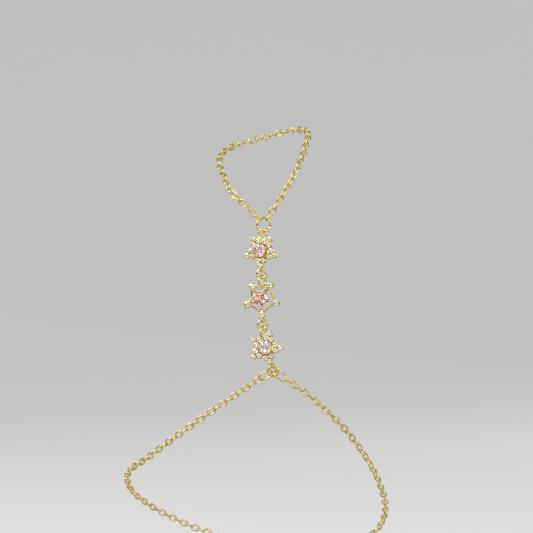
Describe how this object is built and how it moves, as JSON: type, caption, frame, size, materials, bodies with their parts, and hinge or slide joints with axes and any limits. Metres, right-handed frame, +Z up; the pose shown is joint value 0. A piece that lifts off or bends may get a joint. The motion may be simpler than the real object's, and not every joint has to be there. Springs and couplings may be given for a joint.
{
  "type": "hand chain bracelet",
  "caption": "Fine cable chain bracelet with a finger loop, joined down the back of the hand by a row of stone-set star charms.",
  "frame": {"origin": "middle of the wrist loop, where the wrist passes through it", "axes": "+Z up the hand from the wrist to the fingers, -Y out of the back of the hand, +X to the right of a viewer who faces the charms"},
  "size_m": [0.071, 0.0491, 0.1179],
  "materials": {
    "gold": "polished yellow gold plating",
    "clear_stone": "cut and polished",
    "pink_stone": "cut and polished",
    "salmon_stone": "cut and polished",
    "pale_pink_stone": "cut and polished"
  },
  "bodies": {
    "root": {"finger_chain": "gold", "wrist_chain_left": "gold", "wrist_chain_right": "gold", "finger_ring": "gold", "upper_joiner_ring": "gold", "lower_joiner_ring": "gold", "wrist_ring": "gold", "oval_link_left": "gold", "oval_link_right": "gold", "clasp": "gold", "clasp_ring": "gold", "upper_star": "gold", "middle_star": "gold", "lower_star": "gold", "upper_centre_stone": "pink_stone", "middle_centre_stone": "salmon_stone", "lower_centre_stone": "pale_pink_stone", "upper_stone_1": "clear_stone", "upper_stone_2": "clear_stone", "upper_stone_3": "clear_stone", "upper_stone_4": "clear_stone", "upper_stone_5": "clear_stone", "upper_stone_6": "clear_stone", "upper_stone_7": "clear_stone", "upper_stone_8": "clear_stone", "upper_stone_9": "clear_stone", "upper_stone_10": "clear_stone", "upper_stone_11": "clear_stone", "upper_stone_12": "clear_stone", "upper_stone_13": "clear_stone", "upper_stone_14": "clear_stone", "upper_stone_15": "clear_stone", "middle_stone_1": "clear_stone", "middle_stone_2": "clear_stone", "middle_stone_3": "clear_stone", "middle_stone_4": "clear_stone", "middle_stone_5": "clear_stone", "lower_stone_1": "clear_stone", "lower_stone_2": "clear_stone", "lower_stone_3": "clear_stone", "lower_stone_4": "clear_stone", "lower_stone_5": "clear_stone", "lower_stone_6": "clear_stone", "lower_stone_7": "clear_stone", "lower_stone_8": "clear_stone", "lower_stone_9": "clear_stone", "lower_stone_10": "clear_stone", "lower_stone_11": "clear_stone", "lower_stone_12": "clear_stone", "lower_stone_13": "clear_stone", "lower_stone_14": "clear_stone", "lower_stone_15": "clear_stone"}
  },
  "joints": []
}
